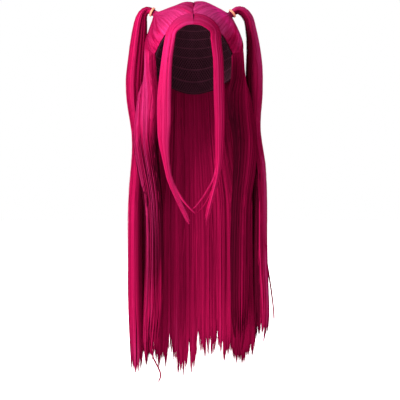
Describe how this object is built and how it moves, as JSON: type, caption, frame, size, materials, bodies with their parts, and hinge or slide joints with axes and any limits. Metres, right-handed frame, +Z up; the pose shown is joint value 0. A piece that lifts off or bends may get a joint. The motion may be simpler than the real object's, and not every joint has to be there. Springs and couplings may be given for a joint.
{
  "type": "twin ponytail wig",
  "caption": "Long straight half-up wig on a net cap: hair drawn from a centre part into tied side ponytails, slim front locks, and loose side and back hair with a ragged hem.",
  "frame": {"origin": "point inside the top of the cap that sits on the top of the head", "axes": "+Z up, -Y the way the face looks, +X to the right as seen from in front"},
  "size_m": [0.2714, 0.2181, 0.712],
  "materials": {
    "hair": "straight synthetic fibre, satin",
    "net_cap": "matt knitted net",
    "elastic": "satin elastic"
  },
  "bodies": {
    "root": {"wig_cap": "net_cap", "crown_left": "hair", "crown_right": "hair", "ponytail_left": "hair", "ponytail_right": "hair", "front_lock_left": "hair", "front_lock_right": "hair", "side_hair_left": "hair", "side_hair_right": "hair", "back_hair": "hair", "hair_tie_left": "elastic", "hair_tie_right": "elastic"}
  },
  "joints": []
}
